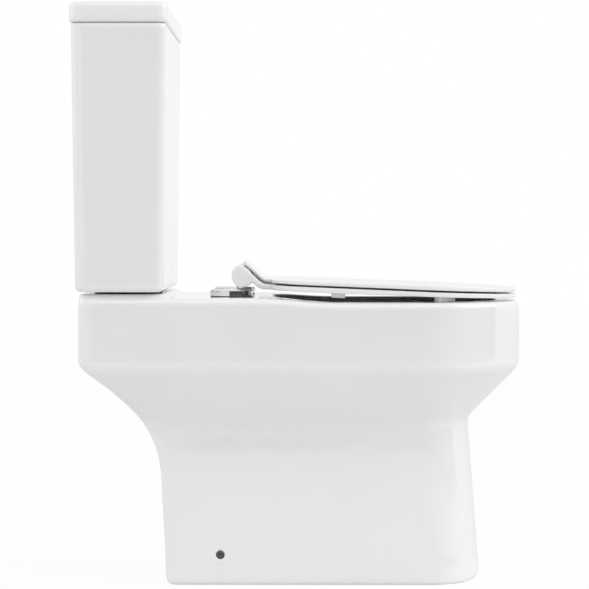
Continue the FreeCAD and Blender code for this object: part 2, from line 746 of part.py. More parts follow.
def pan():
    """The pan in the four parts that it is cast in: the foot, the bowl, its outlet and the deck."""
    shell = pan_body()
    shell = shell.makeFillet(RIM_ROUND, rim_edges(shell))
    shell = shell.cut(bowl_mouth(0, DECK_HEIGHT + OVERRUN))
    shell = shell.makeFillet(BOWL_EDGE_ROUND, mouth_edges(shell))
    shell = shell.fuse(platform())

    hollow = loft([pan_outline(z, PAN_WALL) for z in [-OVERRUN] + pan_heights()], False)
    hollow = hollow.fuse(upright(pan_outline(band_top, PAN_WALL), deck_under - band_top))
    duct_bottom = ledge_height + DUCT_LIFT
    duct_top = duct_bottom + DUCT_HEIGHT
    duct_half = DUCT_WIDTH / 2
    duct_front = bowl_back - OVERRUN
    duct = block(-duct_half, duct_half, duct_front, cistern_y, duct_bottom, duct_top)
    duct_cover = block(-duct_half - DUCT_WALL, duct_half + DUCT_WALL, duct_front, cistern_y,
                       duct_bottom - DUCT_WALL, deck_under + OVERRUN)
    well = disc(0, cistern_y, duct_bottom, duct_top, WELL_RADIUS)
    well_cover = disc(0, cistern_y, duct_bottom - DUCT_WALL, deck_under + OVERRUN, WELL_RADIUS + DUCT_WALL)
    end = outlet_end()
    trap_outside = trap(TRAP_RADIUS + PAN_WALL, end)
    spigot = along_y(end - OUTLET_LENGTH, end, OUTLET_HEIGHT, OUTLET_RADIUS)
    covers = [bowl_space(PAN_WALL), bowl_mouth(PAN_WALL, DECK_HEIGHT), duct_cover, well_cover]
    hollow = hollow.cut(covers + [trap_outside, spigot])
    opening = window().cut([trap_outside, spigot])

    cuts = [hollow, opening, bowl_space(0), trap(TRAP_RADIUS, end + OVERRUN), duct, well]
    cuts.append(along_y(end - OUTLET_LENGTH, end + OVERRUN, OUTLET_HEIGHT, OUTLET_BORE))
    cuts.append(disc(0, cistern_y, duct_bottom, platform_top + OVERRUN, FLUSH_HOLE_RADIUS))
    cuts.append(disc(0, cistern_y, counterbore_floor, platform_top + OVERRUN, GASKET_RADIUS + GASKET_GAP))
    cuts.append(bar(-PAN_WIDTH, PAN_WIDTH, fixing_y, FIXING_HEIGHT, FIXING_RADIUS))
    deck_cut = (deck_under - OVERRUN, platform_top + OVERRUN)
    cuts.append(disc(FILL_OFFSET, cistern_y, *deck_cut, FILL_DECK_RADIUS))
    for side in SIDES:
        cuts.append(disc(side * coupling_x, cistern_y, *deck_cut, COUPLING_DECK_RADIUS))
        cuts.append(disc(side * hinge_x, hinge_fixing_y, *deck_cut, HINGE_HOLE_RADIUS))
    whole = shell.cut(cuts).fuse(hood())
    split = ledge_height - PAN_WALL
    upper = block(-PAN_WIDTH, PAN_WIDTH, pan_front - OVERRUN, pan_back + OVERRUN, split,
                  platform_top + OVERRUN)
    lower = whole.cut(upper)
    reach = OUTLET_RADIUS + OVERRUN
    behind = block(-reach, reach, bowl_back + PAN_WALL, pan_back + OVERRUN, 0, OUTLET_HEIGHT + reach)
    return group(lower.cut(behind).Solids + lower.common(behind).Solids + whole.common(upper).Solids)


def floor_brackets():
    wall_x = FOOT_WIDTH / 2 - FOOT_TAPER * BRACKET_HEIGHT / crease_height - PAN_WALL - TOUCH_GAP
    y0 = fixing_y - BRACKET_LENGTH / 2
    y1 = fixing_y + BRACKET_LENGTH / 2
    upright_plate = block(wall_x - BRACKET_WALL, wall_x, y0, y1, 0, BRACKET_HEIGHT)
    foot_plate = block(wall_x - BRACKET_FOOT, wall_x, y0, y1, 0, BRACKET_WALL)
    boss_x = wall_x - BRACKET_WALL - BRACKET_BOSS_LENGTH
    boss = bar(boss_x, wall_x, fixing_y, FIXING_HEIGHT, BRACKET_BOSS_RADIUS)
    pilot = bar(boss_x - OVERRUN, wall_x + OVERRUN, fixing_y, FIXING_HEIGHT, BRACKET_PILOT_RADIUS)
    screw_x = wall_x - (BRACKET_FOOT + BRACKET_WALL) / 2
    screw = disc(screw_x, fixing_y, -OVERRUN, BRACKET_WALL + OVERRUN, BRACKET_SCREW_RADIUS)
    return pair(joined([upright_plate, foot_plate, boss]).cut([pilot, screw]))


# Cistern
def tank_outline(z, inset, corner_inset):
    share = (z - tank_bottom) / TANK_HEIGHT
    half_width = (TANK_BOTTOM_WIDTH + (TANK_TOP_WIDTH - TANK_BOTTOM_WIDTH) * share) / 2
    half_depth = (TANK_BOTTOM_DEPTH + (TANK_TOP_DEPTH - TANK_BOTTOM_DEPTH) * share) / 2
    return round_rectangle(half_width - inset, half_depth - inset, TANK_CORNER - corner_inset, z)


def cistern_tank():
    corner_inset = min(TANK_WALL, TANK_CORNER / 2)
    shell = loft([tank_outline(tank_bottom, 0, 0), tank_outline(tank_top, 0, 0)], True)
    shell = rounded(shell, TANK_BOTTOM_ROUND, tank_bottom)
    shell = rounded(shell, TANK_TOP_ROUND, tank_top)
    inside = [tank_outline(z, TANK_WALL, corner_inset) for z in (tank_floor, tank_top + OVERRUN)]
    holes = (tank_bottom - OVERRUN, tank_floor + OVERRUN)
    cuts = [loft(inside, True)]
    cuts.append(disc(0, cistern_y, *holes, VALVE_TAIL_RADIUS + VALVE_HOLE_GAP))
    cuts.append(disc(FILL_OFFSET, cistern_y, *holes, FILL_TAIL_RADIUS + FILL_HOLE_GAP))
    for side in SIDES:
        cuts.append(disc(side * coupling_x, cistern_y, *holes, COUPLING_TANK_RADIUS))
    return shell.cut(cuts)


def cistern_lid():
    half_width = TANK_TOP_WIDTH / 2 + LID_OVERHANG
    half_depth = TANK_TOP_DEPTH / 2 + LID_OVERHANG
    corner = TANK_CORNER + LID_OVERHANG
    shell = upright(round_rectangle(half_width, half_depth, corner, lid_bottom), LID_HEIGHT)
    shell = rounded(shell, LID_TOP_ROUND, lid_top)
    shell = rounded(shell, LID_BOTTOM_ROUND, lid_bottom)
    lip_inset = TANK_WALL + LIP_GAP
    lip_corner = TANK_CORNER / 2
    lip_bottom = tank_top - LIP_DEPTH

    def inside(inset, corner, bottom):
        wire = round_rectangle(TANK_TOP_WIDTH / 2 - inset, TANK_TOP_DEPTH / 2 - inset, corner, bottom)
        return upright(wire, lid_ceiling - bottom)

    lip = inside(lip_inset, lip_corner, lip_bottom)
    room = inside(lip_inset + LIP_WALL, lip_corner / 2, lip_bottom - OVERRUN)
    hole = disc(0, cistern_y, lid_ceiling - OVERRUN, lid_top + OVERRUN, SLEEVE_RADIUS + SLEEVE_HOLE_GAP)
    return joined([shell, lip]).cut([room, hole])


# Coupling
def wing_nut(x, y, top, bolt_radius):
    hub = disc(x, y, top - WING_HUB_HEIGHT, top, WING_HUB_RADIUS)
    wing = block(x - WING_WALL / 2, x + WING_WALL / 2, y - WING_SPAN / 2, y + WING_SPAN / 2,
                 top - WING_HEIGHT, top - WING_HEIGHT / 3)
    bore = disc(x, y, top - WING_HEIGHT - OVERRUN, top + OVERRUN, bolt_radius + THREAD_GAP)
    return joined([hub, wing]).cut(bore)


def coupling_nodes():
    seal_top = tank_floor + BOLT_SEAL_HEIGHT
    washer_bottom = deck_under - WASHER_HEIGHT
    bolt_bottom = washer_bottom - WING_HUB_HEIGHT - BOLT_PROTRUSION
    hole = COUPLING_BOLT_RADIUS + THREAD_GAP
    head = bevelled(disc(coupling_x, cistern_y, seal_top, seal_top + BOLT_HEAD_HEIGHT, BOLT_HEAD_RADIUS),
                    BOLT_HEAD_HEIGHT / 4, seal_top + BOLT_HEAD_HEIGHT)
    shank = disc(coupling_x, cistern_y, bolt_bottom, seal_top, COUPLING_BOLT_RADIUS)
    seal_foot = Vector(coupling_x, cistern_y, tank_floor)
    seal = Part.makeCone(BOLT_SEAL_RADIUS, BOLT_HEAD_RADIUS, BOLT_SEAL_HEIGHT, seal_foot)
    seal = seal.cut(disc(coupling_x, cistern_y, tank_floor - OVERRUN, seal_top + OVERRUN, hole))
    return {
        "coupling_gasket": ring(0, cistern_y, counterbore_floor, tank_bottom, GASKET_RADIUS,
                                VALVE_NUT_RADIUS + GASKET_GAP),
        "cistern_buffers": pair(ring(coupling_x, cistern_y, platform_top, tank_bottom, BUFFER_RADIUS,
                                     COUPLING_DECK_RADIUS)),
        "coupling_bolts": pair(joined([shank, head])),
        "coupling_bolt_seals": pair(seal),
        "coupling_washers": pair(ring(coupling_x, cistern_y, washer_bottom, deck_under, WASHER_RADIUS, hole)),
        "coupling_wing_nuts": pair(wing_nut(coupling_x, cistern_y, washer_bottom, COUPLING_BOLT_RADIUS)),
    }


# Flush valve
def flush_valve_body():
    tail = disc(0, cistern_y, DECK_HEIGHT - VALVE_TAIL_DROP, valve_flange_top, VALVE_TAIL_RADIUS)
    flange = disc(0, cistern_y, valve_flange_bottom, valve_flange_top, VALVE_FLANGE_RADIUS)
    seat = disc(0, cistern_y, valve_flange_top, valve_seat_top, VALVE_SEAT_RADIUS)
    pieces = [tail, flange, seat]
    for step in range(VALVE_POST_COUNT):
        angle = math.radians(360 * (step + 0.5) / VALVE_POST_COUNT)
        x = VALVE_POST_CIRCLE * math.cos(angle)
        y = cistern_y + VALVE_POST_CIRCLE * math.sin(angle)
        pieces.append(disc(x, y, valve_flange_bottom, valve_head_bottom, VALVE_POST_RADIUS))
    crown = VALVE_POST_CIRCLE + VALVE_POST_RADIUS + VALVE_RING_MARGIN
    pieces.append(disc(0, cistern_y, valve_post_top, valve_head_bottom, crown))
    bore = disc(0, cistern_y, DECK_HEIGHT - VALVE_TAIL_DROP - OVERRUN, valve_seat_top + OVERRUN, VALVE_BORE)
    passage = disc(0, cistern_y, valve_post_top - OVERRUN, valve_head_bottom + OVERRUN,
                   SPINDLE_RADIUS + SPINDLE_GUIDE_GAP)
    return joined(pieces).cut([bore, passage])


def flush_valve_head():
    head = disc(0, cistern_y, valve_head_bottom, valve_head_top, VALVE_HEAD_RADIUS)
    roof_bottom = valve_head_top - VALVE_HEAD_ROOF
    guide = SPINDLE_RADIUS + SPINDLE_GUIDE_GAP
    cuts = [disc(0, cistern_y, valve_head_bottom - OVERRUN, roof_bottom, guide)]
    for offset in (FULL_ROD_OFFSET, -HALF_ROD_OFFSET):
        cuts.append(disc(offset, cistern_y, roof_bottom, valve_head_top + OVERRUN, ROD_BORE))
    half = VALVE_WINDOW_WIDTH / 2
    window_bottom = roof_bottom - VALVE_WINDOW_HEIGHT
    reach = VALVE_HEAD_RADIUS + OVERRUN
    cuts.append(block(-half, half, cistern_y - reach, cistern_y + reach, window_bottom, roof_bottom))
    return bevelled(head, PUCK_BEVEL, valve_head_top).cut(cuts)


def flush_valve_nodes():
    tube = ring(0, cistern_y, disc_bottom, spindle_top, SPINDLE_RADIUS, SPINDLE_BORE)
    plate = ring(0, cistern_y, disc_bottom, disc_top, SPINDLE_DISC_RADIUS, SPINDLE_BORE)
    float_top = flush_float_bottom + FLUSH_FLOAT_HEIGHT
    float_bore = SPINDLE_RADIUS + FLOAT_HOLD_GAP
    thread = VALVE_TAIL_RADIUS + THREAD_GAP
    nut_bottom = tank_bottom - VALVE_NUT_HEIGHT
    return {
        "flush_valve_body": flush_valve_body(),
        "flush_valve_washer": ring(0, cistern_y, tank_floor, valve_flange_bottom, VALVE_FLANGE_RADIUS,
                                   thread),
        "flush_valve_backnut": ring(0, cistern_y, nut_bottom, tank_bottom, VALVE_NUT_RADIUS, thread),
        "flush_valve_head": flush_valve_head(),
        "flush_valve_spindle": joined([tube, plate]),
        "flush_valve_seal": ring(0, cistern_y, valve_seat_top, disc_bottom, FLUSH_SEAL_RADIUS,
                                 FLUSH_SEAL_BORE),
        "flush_valve_float": ring(0, cistern_y, flush_float_bottom, float_top, FLUSH_FLOAT_RADIUS,
                                  float_bore),
    }


# Fill valve
def hexagon(x, y, z0, z1, radius):
    corners = []
    for step in range(FILL_NUT_SIDES + 1):
        angle = 2 * math.pi * step / FILL_NUT_SIDES
        corners.append(Vector(x + radius * math.cos(angle), y + radius * math.sin(angle), z0))
    return upright(Part.makePolygon(corners), z1 - z0)


def fill_valve_body():
    tail_bottom = deck_under - FILL_TAIL_REACH
    tail = disc(FILL_OFFSET, cistern_y, tail_bottom, fill_flange_bottom, FILL_TAIL_RADIUS)
    flange = disc(FILL_OFFSET, cistern_y, fill_flange_bottom, fill_flange_top, FILL_FLANGE_RADIUS)
    riser = disc(FILL_OFFSET, cistern_y, fill_flange_bottom, cap_bottom, RISER_RADIUS)
    stop_bottom = fill_float_bottom - FILL_STOP_HEIGHT
    stop = disc(FILL_OFFSET, cistern_y, stop_bottom, fill_float_bottom, FILL_STOP_RADIUS)
    bore = disc(FILL_OFFSET, cistern_y, tail_bottom - OVERRUN, cap_bottom + OVERRUN, FILL_TAIL_BORE)
    groove_top = tank_bottom - FILL_NUT_HEIGHT - FILL_GROOVE_WIDTH
    groove = ring(FILL_OFFSET, cistern_y, groove_top - FILL_GROOVE_WIDTH, groove_top,
                  FILL_TAIL_RADIUS + OVERRUN, FILL_TAIL_RADIUS - FILL_GROOVE_DEPTH)
    return joined([tail, flange, riser, stop]).cut([bore, groove])


def lever_bar(half_length, radius):
    """A round bar along the lever's pivot."""
    start = Vector(lever_x, cistern_y - half_length, lever_z)
    return Part.makeCylinder(radius, half_length * 2, start, ALONG_Y)


def fill_valve_cap():
    cap = disc(FILL_OFFSET, cistern_y, cap_bottom, cap_top, CAP_RADIUS)
    cap = bevelled(cap, PUCK_BEVEL, cap_top)
    half = LEVER_WIDTH / 2 + LEVER_SIDE_GAP
    hub_room = LEVER_HUB_RADIUS + LEVER_SIDE_GAP
    slot = block(FILL_OFFSET - CAP_RADIUS - OVERRUN, lever_x + hub_room, cistern_y - half, cistern_y + half,
                 lever_z - hub_room, cap_top + OVERRUN)
    return cap.cut([slot, lever_bar(CAP_RADIUS, LEVER_PIN_RADIUS + PIN_HOLD_GAP)])


def fill_valve_lever():
    half = LEVER_WIDTH / 2
    tip_x = link_x - LEVER_TIP
    arm = block(tip_x, lever_x, cistern_y - half, cistern_y + half, lever_z - LEVER_HEIGHT / 2,
                lever_z + LEVER_HEIGHT / 2)
    hub = lever_bar(half, LEVER_HUB_RADIUS)
    bore = lever_bar(half + OVERRUN, LEVER_PIN_RADIUS + PIN_TURN_GAP)
    slot_half = LINK_RADIUS + TOUCH_GAP
    slot = block(link_x - LINK_SLOT_REACH, link_x + LINK_SLOT_REACH, cistern_y - slot_half,
                 cistern_y + slot_half, lever_z - OVERRUN, lever_z + OVERRUN)
    return joined([arm, hub]).cut([bore, slot])


def fill_valve_float():
    cup = ring(FILL_OFFSET, cistern_y, fill_float_bottom, fill_float_top, FILL_FLOAT_RADIUS,
               RISER_RADIUS + SPINDLE_GUIDE_GAP)
    upper = lever_z + LINK_COLLAR_GAP
    lower = lever_z - LINK_COLLAR_GAP - LINK_COLLAR_HEIGHT
    link = disc(link_x, cistern_y, fill_float_top - OVERRUN, upper + LINK_COLLAR_HEIGHT, LINK_RADIUS)
    collars = [disc(link_x, cistern_y, z, z + LINK_COLLAR_HEIGHT, LINK_COLLAR_RADIUS) for z in (lower, upper)]
    return joined([cup, link] + collars)


def fill_valve_nodes():
    pin_half = math.sqrt(CAP_RADIUS ** 2 - LEVER_PIVOT_OFFSET ** 2) - PUCK_BEVEL
    nut = hexagon(FILL_OFFSET, cistern_y, tank_bottom - FILL_NUT_HEIGHT, tank_bottom, FILL_NUT_RADIUS)
    nut_bore = disc(FILL_OFFSET, cistern_y, tank_bottom - FILL_NUT_HEIGHT - OVERRUN, tank_bottom + OVERRUN,
                    FILL_TAIL_RADIUS + THREAD_GAP)
    return {
        "fill_valve_body": fill_valve_body(),
        "fill_valve_washer": ring(FILL_OFFSET, cistern_y, tank_floor, fill_flange_bottom, FILL_FLANGE_RADIUS,
                                  FILL_TAIL_RADIUS + THREAD_GAP),
        "fill_valve_backnut": nut.cut(nut_bore),
        "fill_valve_cap": fill_valve_cap(),
        "fill_valve_lever": fill_valve_lever(),
        "fill_valve_pin": lever_bar(pin_half, LEVER_PIN_RADIUS),
        "fill_valve_float": fill_valve_float(),
    }


# Flush buttons
def button(side):
    """One half of the round button, cut along the split, on the given side of it."""
    whole = rounded(disc(0, cistern_y, button_bottom, button_top, BUTTON_RADIUS), BUTTON_ROUND, button_top)
    edge = -BUTTON_SPLIT + side * BUTTON_SPLIT_GAP / 2
    far = edge + side * BUTTON_RADIUS * 2
    keep = block(min(edge, far), max(edge, far), cistern_y - BUTTON_RADIUS - OVERRUN,
                 cistern_y + BUTTON_RADIUS + OVERRUN, button_bottom - OVERRUN, button_top + OVERRUN)
    return whole.common(keep)


def button_nodes():
    plate = rounded(disc(0, cistern_y, lid_top, plate_top, PLATE_RADIUS), PLATE_ROUND, plate_top)
    sleeve_bottom = lid_top - SLEEVE_DROP
    sleeve = disc(0, cistern_y, sleeve_bottom, lid_top, SLEEVE_RADIUS)
    bore = disc(0, cistern_y, sleeve_bottom - OVERRUN, plate_top + OVERRUN, SLEEVE_BORE)
    nodes = {
        "button_housing": joined([plate, sleeve]).cut(bore),
        "button_locknut": ring(0, cistern_y, lid_ceiling - LOCKNUT_HEIGHT, lid_ceiling, LOCKNUT_RADIUS,
                               SLEEVE_RADIUS + THREAD_GAP),
    }
    for name, side, offset in (("full", 1, FULL_ROD_OFFSET), ("half", -1, -HALF_ROD_OFFSET)):
        nodes[name + "_flush_button"] = button(side)
        nodes[name + "_flush_rod"] = disc(offset, cistern_y, rod_bottom, button_bottom, ROD_RADIUS)
    return nodes


# Seat and lid outlines, as (forward, up) points from the hinge axis
flap_normal = (math.sin(math.radians(FLAP_ANGLE)), math.cos(math.radians(FLAP_ANGLE)))
flap_along = (flap_normal[1], -flap_normal[0])
kink_forward = (FLAP_DISTANCE + flap_normal[1] * SEAT_KINK_DROP) / flap_normal[0]


def level_line(forward, drop, fall_share):
    """The height at a forward distance, on a line that falls away from the given drop at the kink."""
    return -drop - fall_share * (forward - kink_forward)


def flap_point(along, distance):
    forward = flap_along[0] * along + flap_normal[0] * distance
    return (forward, flap_along[1] * along + flap_normal[1] * distance)


def kink_point(distance, drop, fall_share):
    """Where the sloping flap line at a distance from the axis meets the level line with the given drop."""
    constant = -drop + fall_share * kink_forward
    forward = (distance - flap_normal[1] * constant) / (flap_normal[0] - flap_normal[1] * fall_share)
    return (forward, level_line(forward, drop, fall_share))


def eased(before, corner, after, radius):
    """Points along the arc that rounds a corner between two straight runs."""
    into = Vector(corner[0] - before[0], corner[1] - before[1], 0).normalize()
    out = Vector(after[0] - corner[0], after[1] - corner[1], 0).normalize()
    turn = into.getAngle(out)
    reach = radius * math.tan(turn / 2)
    bend = Vector(*corner, 0) + (out - into).normalize() * (radius / math.cos(turn / 2))
    away = Vector(*corner, 0) - into * reach - bend
    points = []
    for step in range(BEND_STEPS + 1):
        angle = turn * step / BEND_STEPS
        spot = bend + away * math.cos(angle) + into * (radius * math.sin(angle))
        points.append((spot.x, spot.y))
    return points


half_gap = SEAT_GAP / 2
seat_top_drop = SEAT_KINK_DROP + half_gap
seat_under_drop = seat_top_drop + SEAT_THICKNESS
lid_under_drop = SEAT_KINK_DROP - half_gap
lid_top_drop = lid_under_drop - LID_THICKNESS
seat_kink = kink_point(FLAP_DISTANCE - half_gap, seat_top_drop, GAP_FALL_SHARE)
lid_kink = kink_point(FLAP_DISTANCE + half_gap, lid_under_drop, GAP_FALL_SHARE)
lid_top_kink = kink_point(FLAP_DISTANCE + half_gap + LID_THICKNESS, lid_top_drop, LID_TOP_FALL_SHARE)
far_forward = seat_front + OVERRUN
plate_forward = kink_forward + BEND_INSIDE


def slab(start, upper, lower):
    """A slab across the toilet between two (drop, fall share) lines, from the given forward distance."""
    corners = ((start, upper), (far_forward, upper), (far_forward, lower), (start, lower))
    points = [(forward, level_line(forward, *line)) for forward, line in corners]
    return across(points, -PAN_WIDTH / 2, PAN_WIDTH / 2)


seat_upper = (seat_top_drop, GAP_FALL_SHARE)
seat_lower = (seat_under_drop, SEAT_UNDER_FALL_SHARE)
lid_lower = (lid_under_drop, GAP_FALL_SHARE)
lid_upper = (lid_top_drop, LID_TOP_FALL_SHARE)


def plan(back_forward):
    """The outline shared by the seat and the lid, as a tall prism."""
    bottom = DECK_HEIGHT - OVERRUN * 2
    wire = soft_d(PAN_WIDTH / 2 - SEAT_INSET, hinge_y - back_forward, pan_front + SEAT_INSET,
                  BAND_NOSE - SEAT_INSET, BAND_SIDE_RADIUS - SEAT_INSET, SEAT_BACK_RADIUS, bottom)
    return upright(wire, HINGE_RISE + OVERRUN * 4)


def seat_lug():
    chin = [CHIN_ANGLE - CHIN_SPREAD, CHIN_ANGLE, CHIN_ANGLE + CHIN_SPREAD]
    reaches = (SEAT_LUG_RADIUS, CHIN_REACH, SEAT_LUG_RADIUS)
    points = [(0, 0)]
    for angle, reach in zip(chin, reaches):
        points.append((reach * math.cos(math.radians(angle)), reach * math.sin(math.radians(angle))))
    lug = bar(seat_lug_inner, seat_lug_outer, hinge_y, hinge_z, SEAT_LUG_RADIUS)
    lug = lug.fuse(across(points, seat_lug_inner, seat_lug_outer))
    reach = SEAT_LUG_RADIUS * 2
    top = FLAP_DISTANCE - half_gap
    above = [flap_point(*place) for place in ((-reach, top), (reach, top), (reach, reach), (-reach, reach))]
    return lug.cut(across(above, seat_lug_inner - OVERRUN, seat_lug_outer + OVERRUN))


def seat_arm():
    under = FLAP_DISTANCE - half_gap - SEAT_ARM_THICKNESS
    ahead = kink_forward + SEAT_ARM_REACH
    upper = (flap_point(0, FLAP_DISTANCE - half_gap), seat_kink, (ahead, level_line(ahead, *seat_upper)))
    lower = ((ahead, level_line(ahead, *seat_lower)), kink_point(under, *seat_lower), flap_point(0, under))
    points = [upper[0]] + eased(*upper, BEND_INSIDE) + [upper[2]]
    points += [lower[0]] + eased(*lower, BEND_OUTSIDE) + [lower[2]]
    return across(points, seat_lug_inner, seat_lug_outer)


def seat_hole():
    back = hinge_y - seat_kink[0] - HOLE_BACK
    wire = soft_d(HOLE_WIDTH / 2, back, back - HOLE_LENGTH, HOLE_NOSE, oval_side(HOLE_WIDTH / 2, HOLE_NOSE),
                  HOLE_BACK_RADIUS, DECK_HEIGHT - OVERRUN * 3)
    return upright(wire, HINGE_RISE + OVERRUN * 6)


def seat_ring():
    plate = slab(plate_forward, seat_upper, seat_lower).common(plan(plate_forward)).cut(seat_hole())
    arm = seat_arm().fuse(seat_lug())
    bore = bar(seat_lug_inner - OVERRUN, damper_outer + TOUCH_GAP, hinge_y, hinge_z, lug_bore)
    return joined([plate, arm, mirrored(arm)]).cut([bore, mirrored(bore)])


def seat_lid():
    plate = slab(plate_forward, lid_upper, lid_lower).common(plan(plate_forward))
    ahead = kink_forward + SEAT_ARM_REACH
    inner = FLAP_DISTANCE + half_gap
    outer = inner + LID_THICKNESS
    lower = (flap_point(-FLAP_REACH, inner), lid_kink, (ahead, level_line(ahead, *lid_lower)))
    upper = ((ahead, level_line(ahead, *lid_upper)), lid_top_kink, flap_point(-FLAP_REACH, outer))
    points = [lower[0]] + eased(*lower, BEND_OUTSIDE) + [lower[2]]
    points += [upper[0]] + eased(*upper, BEND_INSIDE) + [upper[2]]
    flap = across(points, -FLAP_WIDTH / 2, FLAP_WIDTH / 2)
    lug = bar(lid_lug_inner, lid_lug_outer, hinge_y, hinge_z, LID_LUG_RADIUS)
    bore = bar(damper_inner - TOUCH_GAP, lid_lug_outer + OVERRUN, hinge_y, hinge_z, lug_bore)
    return joined([plate, flap, lug, mirrored(lug)]).cut([bore, mirrored(bore)])


def seat_buffers():
    rear_y = hinge_y - REAR_BUFFER_FORWARD
    under = (seat_under_drop, SEAT_UNDER_FALL_SHARE)
    rear_lower = (seat_under_drop + REAR_BUFFER_HEIGHT, SEAT_UNDER_FALL_SHARE)
    rear = block(REAR_BUFFER_OFFSET - REAR_BUFFER_WIDTH / 2, REAR_BUFFER_OFFSET + REAR_BUFFER_WIDTH / 2,
                 rear_y - REAR_BUFFER_LENGTH / 2, rear_y + REAR_BUFFER_LENGTH / 2, rim_height, hinge_z)
    rear = rear.common(slab(0, under, rear_lower))
    front_y = hinge_y - FRONT_BUFFER_FORWARD
    bottom = rim_height + TOUCH_GAP
    front = block(FRONT_BUFFER_OFFSET - FRONT_BUFFER_WIDTH / 2, FRONT_BUFFER_OFFSET + FRONT_BUFFER_WIDTH / 2,
                  front_y - FRONT_BUFFER_LENGTH / 2, front_y + FRONT_BUFFER_LENGTH / 2, bottom, hinge_z)
    front.rotate(Vector(FRONT_BUFFER_OFFSET, front_y, 0), ALONG_Z, -FRONT_BUFFER_ANGLE)
    front = front.common(slab(0, under, (seat_under_drop + HINGE_RISE, SEAT_UNDER_FALL_SHARE)))
    return group([mirrored(rear), rear, mirrored(front), front])


def lid_buffers():
    pad = slab(0, lid_lower, (seat_top_drop - TOUCH_GAP, GAP_FALL_SHARE))
    pads = []
    for offset, forward in zip(LID_BUFFER_OFFSETS, LID_BUFFER_FORWARDS):
        post = disc(offset, hinge_y - forward, rim_height, hinge_z, LID_BUFFER_RADIUS)
        pads.append(post.common(pad))
    return group([mirrored(shape) for shape in pads] + pads)


# Hinges
def hinge_post():
    foot = puck_top - hinge_z
    head = bar(POST_INNER, post_outer, hinge_y, hinge_z, post_head_radius)
    middle = CHIN_REACH * math.cos(math.radians(CHIN_ANGLE))
    points = [(middle - POST_FOOT / 2, foot), (middle + POST_FOOT / 2, foot),
              (post_head_radius, 0), (-post_head_radius, 0)]
    hole = bar(POST_INNER - OVERRUN, post_outer + OVERRUN, hinge_y, hinge_z, DAMPER_RADIUS + PIN_HOLD_GAP)
    return joined([across(points, POST_INNER, post_outer), head]).cut(hole)


def hinge_base():
    puck = disc(hinge_x, hinge_fixing_y, puck_bottom, puck_top, PUCK_RADIUS)
    puck = bevelled(puck, PUCK_BEVEL, puck_top)
    bore = disc(hinge_x, hinge_fixing_y, puck_bottom - OVERRUN, stud_top, STUD_RADIUS + THREAD_GAP)
    return puck.cut(bore)


def hinge_nodes():
    hole = STUD_RADIUS + THREAD_GAP
    stud_bottom = deck_under - WING_HUB_HEIGHT - BOLT_PROTRUSION
    bush_radius = HINGE_HOLE_RADIUS - BUSH_GAP
    nodes = {
        "hinge_gaskets": pair(ring(hinge_x, hinge_fixing_y, DECK_HEIGHT, puck_bottom,
                                   PUCK_RADIUS - HINGE_GASKET_INSET, hole)),
        "hinge_studs": pair(disc(hinge_x, hinge_fixing_y, stud_bottom, stud_top, STUD_RADIUS)),
        "hinge_bushes": pair(ring(hinge_x, hinge_fixing_y, deck_under, DECK_HEIGHT, bush_radius, hole)),
        "hinge_wing_nuts": pair(wing_nut(hinge_x, hinge_fixing_y, deck_under, STUD_RADIUS)),
    }
    pieces = {
        "hinge_base": hinge_base(),
        "hinge_post": hinge_post(),
        "hinge_damper": bar(damper_inner, damper_outer, hinge_y, hinge_z, DAMPER_RADIUS),
    }
    for name, shape in pieces.items():
        nodes[name + "_right"] = shape
        nodes[name + "_left"] = mirrored(shape)
    return nodes


def main():
    nodes = {
        "pan": pan(),
        "floor_brackets": floor_brackets(),
        "cistern_tank": cistern_tank(),
        "cistern_lid": cistern_lid(),
        "seat_ring": seat_ring(),
        "seat_lid": seat_lid(),
        "seat_buffers": seat_buffers(),
        "lid_buffers": lid_buffers(),
    }
    nodes.update(coupling_nodes())
    nodes.update(flush_valve_nodes())
    nodes.update(fill_valve_nodes())
    nodes.update(button_nodes())
    nodes.update(hinge_nodes())
    os.makedirs("parts", exist_ok=True)
    for name, shape in nodes.items():
        shape.exportStep("parts/" + name + ".step")
        state = "valid" if shape.isValid() else "not valid"
        print(name, len(shape.Solids), "solids", round(shape.Volume), "mm3", state)


main()
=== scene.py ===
import json
import math

import bpy
from mathutils import Matrix, Vector
from mathutils.bvhtree import BVHTree


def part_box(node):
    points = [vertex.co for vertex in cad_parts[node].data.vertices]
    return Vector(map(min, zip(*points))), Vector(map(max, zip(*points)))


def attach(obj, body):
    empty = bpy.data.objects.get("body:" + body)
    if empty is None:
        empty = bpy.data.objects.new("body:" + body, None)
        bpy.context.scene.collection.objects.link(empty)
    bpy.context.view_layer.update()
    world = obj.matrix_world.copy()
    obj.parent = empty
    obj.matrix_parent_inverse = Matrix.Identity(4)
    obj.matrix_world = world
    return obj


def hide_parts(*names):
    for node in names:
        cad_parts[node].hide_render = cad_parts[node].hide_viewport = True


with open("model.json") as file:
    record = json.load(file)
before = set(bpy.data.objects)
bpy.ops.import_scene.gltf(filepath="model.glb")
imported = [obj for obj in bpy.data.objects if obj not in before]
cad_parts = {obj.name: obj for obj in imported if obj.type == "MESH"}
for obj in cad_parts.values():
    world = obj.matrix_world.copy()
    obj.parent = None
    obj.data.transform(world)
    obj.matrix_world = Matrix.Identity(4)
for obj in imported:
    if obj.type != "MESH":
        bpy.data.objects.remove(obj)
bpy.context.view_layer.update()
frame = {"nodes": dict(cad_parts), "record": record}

nodes = frame["nodes"]
scene = bpy.context.scene

